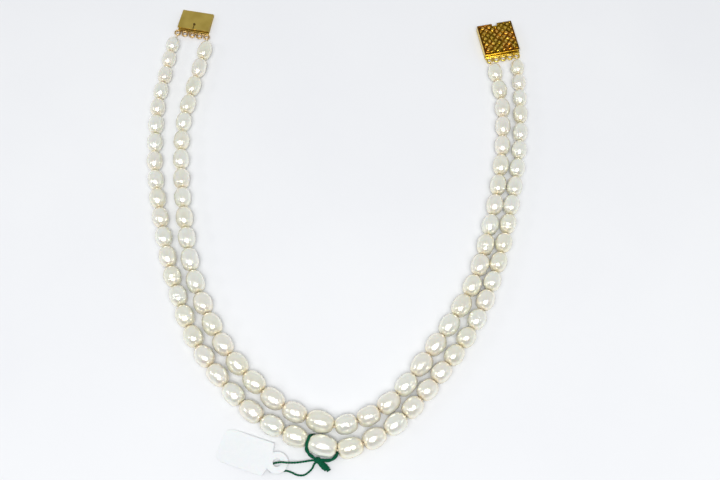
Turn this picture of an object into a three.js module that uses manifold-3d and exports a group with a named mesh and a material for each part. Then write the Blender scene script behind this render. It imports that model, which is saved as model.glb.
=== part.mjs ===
// A two-strand graduated necklace of oval pearls with a five-row box clasp, laid open on a table.
// Millimetres. The table is z = 0 and +Z is up. The necklace is a U that opens towards +Y: the middle
// of its strands is at -Y, the clasp's tongue half is at the left end (-X), its box half at the right.
// The pearls are strung in short lengths: a length is two or three pearls and the knotted silk between
// them, and each length bends against the next at the knot between them. The lengths of the two strands
// are counted so that their knots lie abreast. A paper tag hangs on a green thread that is tied round
// the outer strand's middle pearl.
import * as THREE from "three";
import { mergeVertices } from "three/addons/utils/BufferGeometryUtils.js";
import Module from "manifold-3d";

const wasm = await Module();
wasm.setup();

// ---------------------------------------------------------------- strands
// Each strand's route in plan, from its last pearl at the tongue half to its last pearl at the box
// half. centrePoint is the place in the list of its middle pearl. lengths and widths are graded from
// the middle pearl's neighbour to the last pearl, in even steps.
const strands = {
  outer: {
    route: [
      [-75.5, 84.0], [-77.7, 68.4], [-79.8, 50.0], [-78.9, 22.7], [-74.1, -4.9], [-67.0, -31.4],
      [-56.4, -57.6], [-40.0, -79.6], [-24.3, -92.1], [-5.1, -99.8], [7.2, -100.1], [24.1, -90.4],
      [41.9, -69.8], [56.6, -47.9], [66.8, -21.9], [73.6, 4.7], [78.4, 31.9], [80.0, 56.5], [79.8, 71.7],
    ],
    centrePoint: 9,
    centre: { length: 11.2, width: 8.4 },
    pearlsPerSide: 23,
    pearlsPerLength: {
      left: [3, 2, 2, 2, 3, 2, 2, 2, 3, 2],
      right: [2, 3, 2, 2, 3, 2, 2, 2, 3, 2],
    },
    widths: [8.0, 7.8, 7.4, 6.9, 6.5, 5.9],
    lengths: {
      left: [9.7, 9.2, 8.6, 8.7, 8.5, 7.2],
      right: [9.9, 8.5, 8.3, 8.6, 8.5, 7.0],
    },
  },
  inner: {
    route: [
      [-60.8, 80.8], [-65.0, 60.6], [-67.9, 42.8], [-67.7, 23.8], [-64.3, -3.9], [-58.2, -31.7],
      [-44.7, -60.0], [-24.6, -81.4], [-6.1, -90.5], [4.3, -91.3], [21.1, -82.4], [39.9, -58.5],
      [55.3, -33.3], [63.9, -6.1], [69.9, 22.7], [72.0, 51.0], [69.8, 69.1],
    ],
    centrePoint: 8,
    centre: { length: 10.8, width: 8.6 },
    pearlsPerSide: 20,
    pearlsPerLength: {
      left: [2, 2, 2, 2, 2, 2, 2, 2, 2, 2],
      right: [2, 2, 2, 2, 2, 2, 2, 2, 2, 2],
    },
    widths: [7.9, 7.9, 7.5, 7.1, 6.7, 6.3],
    lengths: {
      left: [9.8, 9.5, 9.6, 8.8, 8.6, 9.2],
      right: [8.9, 9.5, 9.2, 8.9, 9.0, 8.5],
    },
  },
};
const knotSpace = 0.55; // between the ends of two pearls
const knotRadius = 0.32;
const knotRunningGap = 0.25; // between a length's last knot and the next length
const lengthVariation = 0.03; // natural pearls differ from their grading by up to this share
const routeStepsPerSpan = 40;
// Outline of a pearl: share of its half length, and share of its half width there
const pearlOutline = [[-1, 0], [-0.82, 0.66], [-0.3, 1], [0.3, 1], [0.82, 0.66], [1, 0]];
const pearlSides = 8;
const knotSides = 4;
const wireSides = 5;
const wireSteps = 12; // round a ring or a loop

// ---------------------------------------------------------------- clasp
// Both halves share a local frame: x across, y from the ring row to the free end, z up from the table.
const tonguePlace = { at: [-67.4, 90.5], turnDegrees: -10.6 };
const boxPlace = { at: [74.0, 77.9], turnDegrees: 11.5 };
const ringsPerHalf = 5;
const ringHeight = 1.2; // the rings' plane above the table
const ringRadius = 1.2; // to the middle of the wire
const ringWire = 0.3; // radius
const tongueRingPitch = 3.39;
const boxRingPitch = 3.15;
const ringBar = { depth: 0.7, bottom: 0.3, top: 2.0, start: 1.15 };
const partGap = 0.3;

const tongue = { width: 14.4, start: 2.15, end: 12.2, baseBottom: 0.0, baseThickness: 0.7 };
const leafThickness = 0.5;
const leafFreeHeight = 2.1; // underside of the leaf's free edge
const leafFoldHeight = 1.0; // underside of the leaf at the fold
const rolledEdge = { radius: 0.85, sides: 10 };
const thumbCatch = { width: 1.5, start: 1.75, end: 5.6, height: 0.45, pipRadius: 0.6, pipHeight: 0.7 };

const box = { width: 16.0, start: 2.15, end: 17.7, height: 3.7, wall: 0.6, coverThickness: 0.6 };
const notch = { width: 2.4, depth: 1.3 };
const coverLip = 0.35; // bevel round the engraved cover

// ---------------------------------------------------------------- silk end loops
const loopRadius = 1.0;
const loopWire = 0.2;
const loopReach = 0.25; // from the ring's wire to the loop's middle
const stemRadius = 0.3;

// ---------------------------------------------------------------- tag and its thread
const threadDiameter = 0.8;
const wrapDiameter = 1.4; // the thread lies double round the pearl
const threadSides = 8;
// Round the outer strand's middle pearl, as distances along it and across it, and a height: from the
// knot over the strand at the left neck, back under the pearl, and under the strand at the right neck
const wrapRoute = [
  [-2.9, -4.6, 1.7], [-4.5, -3.9, 2.4], [-5.7, -2.6, 3.5], [-5.85, -1.3, 5.2], [-5.75, 0.3, 6.05],
  [-5.65, 1.8, 5.15], [-5.5, 2.8, 3.5], [-4.7, 3.6, 1.5], [-2.8, 3.8, 0.8], [-0.3, 3.8, 0.8],
  [2.2, 3.7, 0.8], [4.4, 2.8, 0.85], [5.7, 0.9, 1.1], [6.1, -0.9, 1.9], [5.8, -2.4, 2.4],
  [4.9, -3.7, 2.2], [3.5, -4.4, 1.8], [1.9, -4.7, 1.5],
];
// From the knot through the tag's hole and back under the tag
const tagLoopRoute = [
  [-9.0, -104.9, 1.6], [-11.2, -105.2, 1.55], [-13.8, -105.6, 1.6], [-16.2, -105.9, 2.0],
  [-18.6, -106.0, 2.6], [-20.9, -105.8, 2.65], [-22.6, -105.8, 1.65], [-24.1, -105.95, 0.82],
  [-25.4, -106.6, 0.5], [-25.85, -107.75, 0.45], [-25.1, -108.8, 0.45], [-23.7, -109.15, 0.45],
  [-22.0, -109.05, 0.45], [-20.3, -108.75, 0.45], [-18.7, -108.7, 0.45], [-16.9, -109.3, 0.45],
  [-14.6, -110.3, 0.45], [-12.2, -110.3, 0.45], [-10.3, -109.1, 0.5], [-9.0, -107.7, 0.6],
  [-8.4, -106.3, 0.9],
];
const knotBall = { at: [-7.0, -104.7, 1.3], radii: [1.35, 1.05, 1.1], sides: 8 };
const cutEnds = { from: [-6.6, -105.1, 1.2], to: [-2.6, -108.6, 0.9], radius: 0.8, sides: 8 };
const tag = {
  hole: [-22.6, -105.8],
  turnDegrees: 160.5, // the way the card runs from its hole
  holeRadius: 1.6,
  lobeRadius: 4.3,
  shoulder: 3.6, // from the hole to the shoulders
  length: 23.6, // from the hole to the far edge
  halfWidth: 6.7,
  cornerRadius: 3.2,
  thickness: 0.3,
  liftAtHole: 1.45,
  tiltDegrees: 3.2,
};

// ---------------------------------------------------------------- materials
const finish = (color, roughness, metalness) => () =>
  new THREE.MeshStandardMaterial({ color, roughness, metalness });
const materials = {
  pearl: finish(0xf1ece2, 0.25, 0),
  silk: finish(0xf4efe4, 0.8, 0),
  satinGold: finish(0xa8924a, 0.35, 1),
  engravedGold: finish(0xa87a1e, 0.3, 1),
  ringGold: finish(0xd9bb7a, 0.3, 1),
  greenThread: finish(0x0f5a3c, 0.9, 0),
  paper: finish(0xf4f6f5, 0.8, 0),
};

const necklace = new THREE.Group();
necklace.name = "pearl_necklace";

function addPiece(name, geometry, material, parent = necklace) {
  const mesh = new THREE.Mesh(geometry, material());
  mesh.name = name;
  parent.add(mesh);
  return mesh;
}

// ---------------------------------------------------------------- solids
function solidOf(geometry) {
  const bare = new THREE.BufferGeometry();
  const source = geometry.index ? geometry.toNonIndexed() : geometry;
  bare.setAttribute("position", source.getAttribute("position"));
  const merged = mergeVertices(bare, 1e-4);
  return new wasm.Manifold(
    new wasm.Mesh({
      numProp: 3,
      vertProperties: merged.attributes.position.array,
      triVerts: new Uint32Array(merged.index.array),
    }),
  );
}

function geometryOf(solid) {
  const mesh = solid.getMesh();
  const geometry = new THREE.BufferGeometry();
  geometry.setAttribute("position", new THREE.BufferAttribute(mesh.vertProperties, 3));
  geometry.setIndex(new THREE.BufferAttribute(mesh.triVerts, 1));
  geometry.computeVertexNormals();
  return geometry;
}

const joined = (geometries) => geometryOf(geometries.map(solidOf).reduce((a, b) => a.add(b)));
const cutBy = (geometry, tools) =>
  geometryOf(tools.map(solidOf).reduce((left, tool) => left.subtract(tool), solidOf(geometry)));

function boxBetween(low, high) {
  const size = high.map((value, axis) => value - low[axis]);
  const middle = high.map((value, axis) => (value + low[axis]) / 2);
  return new THREE.BoxGeometry(...size).translate(...middle);
}

// A rod from one point to another, with flat ends
function rodBetween(from, to, radius, sides) {
  const start = new THREE.Vector3(...from);
  const along = new THREE.Vector3(...to).sub(start);
  const turn = new THREE.Quaternion().setFromUnitVectors(
    new THREE.Vector3(0, 1, 0),
    along.clone().normalize(),
  );
  const rod = new THREE.CylinderGeometry(radius, radius, along.length(), sides);
  return rod.applyQuaternion(turn).translate(...start.addScaledVector(along, 0.5).toArray());
}

function tubeAlong(points, diameter) {
  const section = new THREE.Shape();
  for (let side = 0; side < threadSides; side++) {
    const angle = (2 * Math.PI * side) / threadSides;
    const x = (diameter / 2) * Math.cos(angle);
    const y = (diameter / 2) * Math.sin(angle);
    if (side === 0) section.moveTo(x, y);
    else section.lineTo(x, y);
  }
  const path = new THREE.CatmullRomCurve3(points.map((point) => new THREE.Vector3(...point)));
  return new THREE.ExtrudeGeometry(section, {
    steps: points.length - 1,
    extrudePath: path,
  });
}

// ---------------------------------------------------------------- laying out the pearls
const graded = (list, share) => {
  const place = share * (list.length - 1);
  const step = Math.min(Math.floor(place), list.length - 2);
  return list[step] + (list[step + 1] - list[step]) * (place - step);
};

// A repeatable number between -1 and 1 for each pearl
const natural = (pearl, seed) => {
  const value = Math.sin(pearl * 12.9898 + seed * 78.233) * 43758.5453;
  return 2 * (value - Math.floor(value)) - 1;
};

// Points along a smooth route through the listed ones, with the distance to each
function walkRoute(route) {
  const point = (index) => {
    if (index < 0) return route[0].map((value, axis) => 2 * value - route[1][axis]);
    const last = route.length - 1;
    if (index > last) return route[last].map((value, axis) => 2 * value - route[last - 1][axis]);
    return route[index];
  };
  const places = [];
  let distance = 0;
  for (let span = 0; span < route.length - 1; span++) {
    const [a, b, c, d] = [-1, 0, 1, 2].map((offset) => point(span + offset));
    for (let step = span ? 1 : 0; step <= routeStepsPerSpan; step++) {
      const t = step / routeStepsPerSpan;
      const at = [0, 1].map((axis) => {
        const pull = (c[axis] - a[axis]) / 2;
        const push = (d[axis] - b[axis]) / 2;
        const bend = 3 * (c[axis] - b[axis]) - 2 * pull - push;
        const turn = 2 * (b[axis] - c[axis]) + pull + push;
        return b[axis] + pull * t + bend * t * t + turn * t * t * t;
      });
      const before = places.at(-1);
      if (before) distance += Math.hypot(at[0] - before.at[0], at[1] - before.at[1]);
      places.push({ at, distance });
    }
  }
  return places;
}

function placeAt(places, distance) {
  const found = places.findIndex((place) => place.distance >= distance);
  const after = found < 0 ? places.length - 1 : Math.max(found, 1);
  const [low, high] = [places[after - 1], places[after]];
  const share = (distance - low.distance) / (high.distance - low.distance);
  const span = [high.at[0] - low.at[0], high.at[1] - low.at[1]];
  const size = Math.hypot(...span);
  return {
    at: [low.at[0] + span[0] * share, low.at[1] + span[1] * share],
    heading: [span[0] / size, span[1] / size],
  };
}

// The pearls of one side of a strand, from its middle pearl outwards; heading points outwards too
function layOutSide(strand, side, seed) {
  const places = walkRoute(strand.route);
  const centre = places[strand.centrePoint * routeStepsPerSpan].distance;
  const outwards = side === "left" ? -1 : 1;
  const reach = side === "left" ? centre : places.at(-1).distance - centre;
  const count = strand.pearlsPerSide;
  const grading = [];
  for (let pearl = 1; pearl <= count; pearl++) {
    const share = (pearl - 1) / (count - 1);
    grading.push(graded(strand.lengths[side], share) * (1 + lengthVariation * natural(pearl, seed)));
  }
  const strung = grading.reduce((sum, length) => sum + length, 0) - grading.at(-1) / 2;
  const stretch = (reach - knotSpace * count - strand.centre.length / 2) / strung;
  let tip = strand.centre.length / 2;
  return grading.map((gradedLength, index) => {
    const length = gradedLength * stretch;
    const distance = tip + knotSpace + length / 2;
    tip = distance + length / 2;
    const place = placeAt(places, centre + outwards * distance);
    return {
      at: place.at,
      heading: place.heading.map((value) => value * outwards),
      length,
      width: graded(strand.widths, index / (count - 1)),
    };
  });
}

function layOutCentre(strand) {
  const places = walkRoute(strand.route);
  const centre = places[strand.centrePoint * routeStepsPerSpan].distance;
  return { ...placeAt(places, centre), ...strand.centre };
}

const endOf = (pearl, sign, beyond = 0) => [
  pearl.at[0] + sign * pearl.heading[0] * (pearl.length / 2 + beyond),
  pearl.at[1] + sign * pearl.heading[1] * (pearl.length / 2 + beyond),
  pearl.width / 2,
];

// A pearl is turned about its long axis so that a corner of its section is lowest
function pearlSolid(pearl) {
  const outline = pearlOutline.map(
    ([along, out]) => new THREE.Vector2((out * pearl.width) / 2, (along * pearl.length) / 2),
  );
  const turn = Math.atan2(pearl.heading[1], pearl.heading[0]);
  return new THREE.LatheGeometry(outline, pearlSides)
    .rotateZ(-Math.PI / 2)
    .rotateZ(turn)
    .translate(...pearl.at, pearl.width / 2);
}

// Silk from one pearl to the next, or the knot that ends a length of pearls
function silkBetween(pearl, next) {
  const sunk = -knotRadius;
  return rodBetween(endOf(pearl, 1, sunk), endOf(next, -1, sunk), knotRadius, knotSides);
}

function lastKnot(pearl) {
  const reach = knotSpace - knotRunningGap;
  return rodBetween(endOf(pearl, 1, -knotRadius), endOf(pearl, 1, reach), knotRadius, knotSides);
}

function addLengthsOfPearls(strandName, side, seed) {
  const strand = strands[strandName];
  const pearls = layOutSide(strand, side, seed);
  let first = 0;
  strand.pearlsPerLength[side].forEach((count, index) => {
    const own = pearls.slice(first, first + count);
    first += count;
    const solids = own.map(pearlSolid);
    own.slice(1).forEach((pearl, place) => solids.push(silkBetween(own[place], pearl)));
    if (first < pearls.length) solids.push(lastKnot(own.at(-1)));
    const number = String(index + 1).padStart(2, "0");
    addPiece(`${strandName}_pearls_${side}_${number}`, joined(solids), materials.pearl);
  });
  return pearls.at(-1);
}

function addCentrePearl(strandName) {
  const pearl = layOutCentre(strands[strandName]);
  const backwards = { ...pearl, heading: pearl.heading.map((value) => -value) };
  const solids = [pearlSolid(pearl), lastKnot(pearl), lastKnot(backwards)];
  addPiece(`${strandName}_pearl_centre`, joined(solids), materials.pearl);
}

// ---------------------------------------------------------------- clasp halves
function halfGroup(place) {
  const group = new THREE.Group();
  group.position.set(place.at[0], place.at[1], 0);
  group.rotation.z = THREE.MathUtils.degToRad(place.turnDegrees);
  necklace.add(group);
  return group;
}

const ringAcross = (index, pitch) => (index - (ringsPerHalf - 1) / 2) * pitch;

// Five wire rings soldered side by side to a bar
function ringRow(pitch, width) {
  const solids = [
    boxBetween(
      [-width / 2, ringBar.start, ringBar.bottom],
      [width / 2, ringBar.start + ringBar.depth, ringBar.top],
    ),
  ];
  for (let ring = 0; ring < ringsPerHalf; ring++) {
    const torus = new THREE.TorusGeometry(ringRadius, ringWire, wireSides, wireSteps);
    solids.push(torus.translate(ringAcross(ring, pitch), 0, ringHeight));
  }
  return joined(solids);
}

// The tongue's lower sheet with its rolled front edge
function tongueBase() {
  const top = tongue.baseBottom + tongue.baseThickness;
  const sheet = boxBetween(
    [-tongue.width / 2, tongue.start, tongue.baseBottom],
    [tongue.width / 2, tongue.end, top],
  );
  const edge = new THREE.CylinderGeometry(
    rolledEdge.radius, rolledEdge.radius, tongue.width, rolledEdge.sides,
  );
  edge.rotateY(Math.PI / rolledEdge.sides).rotateZ(Math.PI / 2);
  edge.translate(0, tongue.end, rolledEdge.radius * Math.cos(Math.PI / rolledEdge.sides));
  return joined([sheet, edge]);
}

// Height of the spring leaf's underside at a distance y from the ring row
const leafEnd = tongue.end - rolledEdge.radius - partGap;
const leafSlope = (leafFreeHeight - leafFoldHeight) / (leafEnd - tongue.start);
const leafUnder = (y) => leafFoldHeight + leafSlope * (leafEnd - y);

// A shape in the y-z plane, extruded across the half and centred on it
function acrossHalf(outline, width) {
  const shape = new THREE.Shape(outline.map(([y, z]) => new THREE.Vector2(y, z)));
  const solid = new THREE.ExtrudeGeometry(shape, { depth: width, bevelEnabled: false });
  return solid.rotateX(Math.PI / 2).rotateZ(Math.PI / 2).translate(-width / 2, 0, 0);
}

function springLeaf() {
  const [near, far] = [tongue.start, leafEnd];
  return acrossHalf(
    [
      [near, leafUnder(near)],
      [far, leafUnder(far)],
      [far, leafUnder(far) + leafThickness],
      [near, leafUnder(near) + leafThickness],
    ],
    tongue.width,
  );
}

// A raised strip along the leaf's free edge, ending in the pip that a thumb presses
function thumbCatchSolid() {
  const onLeaf = (y, above) => leafUnder(y) + leafThickness + partGap + above;
  const strip = acrossHalf(
    [
      [thumbCatch.start, onLeaf(thumbCatch.start, 0)],
      [thumbCatch.end, onLeaf(thumbCatch.end, 0)],
      [thumbCatch.end, onLeaf(thumbCatch.end, thumbCatch.height)],
      [thumbCatch.start, onLeaf(thumbCatch.start, thumbCatch.height)],
    ],
    thumbCatch.width,
  );
  const pipAt = thumbCatch.end - thumbCatch.pipRadius;
  const pip = new THREE.CylinderGeometry(
    thumbCatch.pipRadius, thumbCatch.pipRadius, thumbCatch.pipHeight, 10,
  );
  pip.rotateX(Math.PI / 2).translate(0, pipAt, onLeaf(pipAt, thumbCatch.pipHeight / 2));
  return joined([strip, pip]);
}

function addTongueHalf() {
  const half = halfGroup(tonguePlace);
  addPiece("tongue_ring_row", ringRow(tongueRingPitch, tongue.width), materials.ringGold, half);
  addPiece("tongue_base", tongueBase(), materials.satinGold, half);
  addPiece("tongue_spring_leaf", springLeaf(), materials.satinGold, half);
  addPiece("tongue_thumb_catch", thumbCatchSolid(), materials.satinGold, half);
}

// Floor, two side walls and end wall of the box, open at its mouth and its top
function boxTray() {
  const top = box.height - box.coverThickness - partGap;
  const outer = boxBetween([-box.width / 2, box.start, 0], [box.width / 2, box.end, top]);
  const inside = boxBetween(
    [-box.width / 2 + box.wall, box.start + box.wall, box.wall],
    [box.width / 2 - box.wall, box.end + 1, top + 1],
  );
  return cutBy(outer, [inside]);
}

// The engraved lid: bevelled on three sides, with a notch for the thumb catch at the mouth
function boxCover() {
  const [low, high] = [box.height - box.coverThickness, box.height];
  const reach = box.width / 2;
  const shoulder = low + box.coverThickness - coverLip;
  const plate = boxBetween([-reach, box.start, low], [reach, box.end, high]);
  const wedge = (side) =>
    new THREE.ExtrudeGeometry(
      new THREE.Shape([
        new THREE.Vector2(side * (reach - coverLip), high + 0.01),
        new THREE.Vector2(side * (reach + 1), high + 0.01),
        new THREE.Vector2(side * (reach + 1), shoulder),
        new THREE.Vector2(side * reach, shoulder),
      ]),
      { depth: box.end - box.start + 2, bevelEnabled: false },
    )
      .rotateX(Math.PI / 2)
      .translate(0, box.end + 1, 0);
  const slot = boxBetween(
    [-notch.width / 2, box.end - notch.depth, low - 1],
    [notch.width / 2, box.end + 1, high + 1],
  );
  return cutBy(plate, [wedge(1), wedge(-1), slot]);
}

function addBoxHalf() {
  const half = halfGroup(boxPlace);
  addPiece("box_ring_row", ringRow(boxRingPitch, box.width), materials.ringGold, half);
  addPiece("box_tray", boxTray(), materials.satinGold, half);
  addPiece("box_cover", boxCover(), materials.engravedGold, half);
}

// ---------------------------------------------------------------- silk end loops
// A loop of silk through an end ring of the clasp, and its stem to the strand's last pearl. The loop
// sits at the part of the ring that is nearest to the pearl.
function addEndLoop(name, place, pitch, ringIndex, lastPearl) {
  const turn = THREE.MathUtils.degToRad(place.turnDegrees);
  const across = ringAcross(ringIndex, pitch);
  const ring = [place.at[0] + across * Math.cos(turn), place.at[1] + across * Math.sin(turn)];
  const tip = endOf(lastPearl, 1, partGap);
  const away = Math.atan2(tip[1] - ring[1], tip[0] - ring[0]);
  const fromRing = (reach) => [
    ring[0] + reach * Math.cos(away),
    ring[1] + reach * Math.sin(away),
    ringHeight,
  ];
  const loopMiddle = ringRadius + loopReach;
  const loop = new THREE.TorusGeometry(loopRadius, loopWire, wireSides, wireSteps);
  loop.rotateX(Math.PI / 2).rotateZ(away).translate(...fromRing(loopMiddle));
  const stem = rodBetween(fromRing(loopMiddle + loopRadius), tip, stemRadius, knotSides);
  addPiece(name, joined([loop, stem]), materials.silk);
}

// ---------------------------------------------------------------- tag
// Outline from the hole outwards along +x: a round lobe, shoulders, and a card with round far corners
function tagCard() {
  const { shoulder, length, halfWidth, cornerRadius, lobeRadius, holeRadius } = tag;
  const lobeAngle = Math.PI / 4;
  const outline = new THREE.Shape();
  outline.absarc(0, 0, lobeRadius, lobeAngle, 2 * Math.PI - lobeAngle, false);
  outline.lineTo(shoulder, -halfWidth);
  outline.lineTo(length - cornerRadius, -halfWidth);
  outline.absarc(length - cornerRadius, -halfWidth + cornerRadius, cornerRadius, -Math.PI / 2, 0);
  outline.absarc(length - cornerRadius, halfWidth - cornerRadius, cornerRadius, 0, Math.PI / 2);
  outline.lineTo(shoulder, halfWidth);
  const hole = new THREE.Path();
  hole.absarc(0, 0, holeRadius, 0, 2 * Math.PI, true);
  outline.holes.push(hole);
  return new THREE.ExtrudeGeometry(outline, {
    depth: tag.thickness,
    bevelEnabled: false,
    curveSegments: 5,
  });
}

function addTag() {
  const swing = new THREE.Group();
  swing.position.set(tag.hole[0], tag.hole[1], tag.liftAtHole);
  swing.rotation.z = THREE.MathUtils.degToRad(tag.turnDegrees);
  necklace.add(swing);
  const card = addPiece("tag_card", tagCard(), materials.paper, swing);
  card.rotation.y = THREE.MathUtils.degToRad(tag.tiltDegrees);
  const { at, heading } = layOutCentre(strands.outer);
  const wrap = wrapRoute.map(([along, across, height]) => [
    at[0] + along * heading[0] - across * heading[1],
    at[1] + along * heading[1] + across * heading[0],
    height,
  ]);
  addPiece("tag_thread_wrap", tubeAlong(wrap, wrapDiameter), materials.greenThread);
  addPiece("tag_thread_loop", tubeAlong(tagLoopRoute, threadDiameter), materials.greenThread);
  const ball = new THREE.SphereGeometry(1, knotBall.sides, knotBall.sides / 2);
  ball.scale(...knotBall.radii).translate(...knotBall.at);
  const ends = rodBetween(cutEnds.from, cutEnds.to, cutEnds.radius, cutEnds.sides);
  addPiece("tag_thread_knot", joined([ball, ends]), materials.greenThread);
}

// ---------------------------------------------------------------- assembly
const seeds = { outer: { left: 3, right: 5 }, inner: { left: 7, right: 11 } };
const lastPearls = { outer: {}, inner: {} };
for (const strandName of ["outer", "inner"]) {
  addCentrePearl(strandName);
  for (const side of ["left", "right"]) {
    lastPearls[strandName][side] = addLengthsOfPearls(strandName, side, seeds[strandName][side]);
  }
}
addTongueHalf();
addBoxHalf();
const lastRing = ringsPerHalf - 1;
addEndLoop("silk_loop_outer_left", tonguePlace, tongueRingPitch, 0, lastPearls.outer.left);
addEndLoop("silk_loop_inner_left", tonguePlace, tongueRingPitch, lastRing, lastPearls.inner.left);
addEndLoop("silk_loop_inner_right", boxPlace, boxRingPitch, 0, lastPearls.inner.right);
addEndLoop("silk_loop_outer_right", boxPlace, boxRingPitch, lastRing, lastPearls.outer.right);
addTag();

export default necklace;
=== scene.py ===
# A two-strand graduated pearl necklace with a box clasp and a paper tag on a green thread.
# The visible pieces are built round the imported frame. Each rides a body of the frame, and some of them
# stand in for its nodes. The object's lengths are in millimetres, and MM turns them into metres.
import math

import bmesh
import bpy
from mathutils import Matrix, Vector, noise


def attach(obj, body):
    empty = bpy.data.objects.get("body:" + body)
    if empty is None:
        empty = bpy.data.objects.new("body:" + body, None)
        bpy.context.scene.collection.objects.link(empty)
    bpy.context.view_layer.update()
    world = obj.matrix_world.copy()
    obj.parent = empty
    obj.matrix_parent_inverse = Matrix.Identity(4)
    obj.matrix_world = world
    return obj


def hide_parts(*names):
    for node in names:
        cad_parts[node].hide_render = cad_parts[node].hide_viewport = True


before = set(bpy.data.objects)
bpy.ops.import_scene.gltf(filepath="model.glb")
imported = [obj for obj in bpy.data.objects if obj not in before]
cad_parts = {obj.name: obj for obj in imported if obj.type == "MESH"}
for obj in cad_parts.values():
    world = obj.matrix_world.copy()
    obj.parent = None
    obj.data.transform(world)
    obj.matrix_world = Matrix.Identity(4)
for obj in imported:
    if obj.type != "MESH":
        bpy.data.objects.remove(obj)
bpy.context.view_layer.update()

MM = 0.001

# ---------------------------------------------------------------- strands
# The same strands as in part.mjs. route runs from the last pearl at the tongue half to the last pearl at
# the box half. centre_point is the place in it of the middle pearl, and centre is that pearl's length and
# width. widths and lengths are graded in even steps from the middle pearl's neighbour to the last pearl.
STRANDS = {
    "outer": {
        "route": [
            (-75.5, 84.0), (-77.7, 68.4), (-79.8, 50.0), (-78.9, 22.7), (-74.1, -4.9),
            (-67.0, -31.4), (-56.4, -57.6), (-40.0, -79.6), (-24.3, -92.1), (-5.1, -99.8),
            (7.2, -100.1), (24.1, -90.4), (41.9, -69.8), (56.6, -47.9), (66.8, -21.9),
            (73.6, 4.7), (78.4, 31.9), (80.0, 56.5), (79.8, 71.7),
        ],
        "centre_point": 9,
        "centre": (11.2, 8.4),
        "per_side": 23,
        "per_length": {
            "left": (3, 2, 2, 2, 3, 2, 2, 2, 3, 2),
            "right": (2, 3, 2, 2, 3, 2, 2, 2, 3, 2),
        },
        "widths": (8.0, 7.8, 7.4, 6.9, 6.5, 5.9),
        "lengths": {
            "left": (9.7, 9.2, 8.6, 8.7, 8.5, 7.2),
            "right": (9.9, 8.5, 8.3, 8.6, 8.5, 7.0),
        },
        "seed": {"left": 3, "right": 5},
    },
    "inner": {
        "route": [
            (-60.8, 80.8), (-65.0, 60.6), (-67.9, 42.8), (-67.7, 23.8), (-64.3, -3.9),
            (-58.2, -31.7), (-44.7, -60.0), (-24.6, -81.4), (-6.1, -90.5), (4.3, -91.3),
            (21.1, -82.4), (39.9, -58.5), (55.3, -33.3), (63.9, -6.1), (69.9, 22.7),
            (72.0, 51.0), (69.8, 69.1),
        ],
        "centre_point": 8,
        "centre": (10.8, 8.6),
        "per_side": 20,
        "per_length": {"left": (2,) * 10, "right": (2,) * 10},
        "widths": (7.9, 7.9, 7.5, 7.1, 6.7, 6.3),
        "lengths": {
            "left": (9.8, 9.5, 9.6, 8.8, 8.6, 9.2),
            "right": (8.9, 9.5, 9.2, 8.9, 9.0, 8.5),
        },
        "seed": {"left": 7, "right": 11},
    },
}
KNOT_SPACE = 0.55  # between the ends of two pearls
LENGTH_VARIATION = 0.03  # pearls differ from their grading by up to this share
STEPS_PER_SPAN = 40


# ---------------------------------------------------------------- camera, lights, floor
CAMERA_LENS = 55
CAMERA_SENSOR = 36
CAMERA_AIM = (9.3, -11.5, 0)
CAMERA_ELEVATION = 66  # degrees above the table
CAMERA_DISTANCE = 462
FLOOR_HALF = 3.0  # metres
DARK_PATCH_ELEVATION = 56
WORLD_STRENGTH = 0.60


def add_camera():
    data = bpy.data.cameras.new("camera")
    data.lens = CAMERA_LENS
    data.sensor_width = CAMERA_SENSOR
    data.clip_start = 0.01
    camera = bpy.data.objects.new("camera", data)
    bpy.context.scene.collection.objects.link(camera)
    elevation = math.radians(CAMERA_ELEVATION)
    towards_camera = Vector((0, -math.cos(elevation), math.sin(elevation)))
    camera.location = Vector(CAMERA_AIM) * MM + towards_camera * CAMERA_DISTANCE * MM
    camera.rotation_euler = (math.pi / 2 - elevation, 0, 0)
    bpy.context.scene.camera = camera


def node_tree(owner):
    owner.use_nodes = True
    owner.node_tree.nodes.clear()
    return owner.node_tree


def add_node(tree, kind, **values):
    made = tree.nodes.new(kind)
    for key, value in values.items():
        setattr(made, key, value)
    return made


def add_world():
    world = bpy.data.worlds.new("studio")
    bpy.context.scene.world = world
    tree = node_tree(world)
    place = add_node(tree, "ShaderNodeTexCoord")
    # Pale all round, with a dark patch high on the -Y side that the lustre picks up
    dot = add_node(tree, "ShaderNodeVectorMath", operation="DOT_PRODUCT")
    elevation = math.radians(DARK_PATCH_ELEVATION)
    dot.inputs[1].default_value = (0, -math.cos(elevation), math.sin(elevation))
    shades = [(0.10, (0.96, 0.98, 1.0)), (0.60, (0.60, 0.61, 0.63)), (0.84, (0.10, 0.10, 0.11))]
    ramp = colour_ramp(tree, shades)
    background = add_node(tree, "ShaderNodeBackground")
    background.inputs["Strength"].default_value = WORLD_STRENGTH
    out = add_node(tree, "ShaderNodeOutputWorld")
    tree.links.new(place.outputs["Generated"], dot.inputs[0])
    tree.links.new(dot.outputs["Value"], ramp.inputs["Fac"])
    tree.links.new(ramp.outputs["Color"], background.inputs["Color"])
    tree.links.new(background.outputs["Background"], out.inputs["Surface"])


def add_softbox(name, azimuth, elevation, distance, size, watts):
    """An area light that faces the origin. azimuth is from -Y towards +X; lengths are in metres."""
    data = bpy.data.lights.new(name, "AREA")
    data.shape = "RECTANGLE"
    data.size, data.size_y = size
    data.energy = watts
    lamp = bpy.data.objects.new(name, data)
    bpy.context.scene.collection.objects.link(lamp)
    a, e = math.radians(azimuth), math.radians(elevation)
    away = Vector((math.sin(a) * math.cos(e), -math.cos(a) * math.cos(e), math.sin(e)))
    lamp.location = away * distance
    lamp.rotation_euler = away.to_track_quat("Z", "Y").to_euler()


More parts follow.
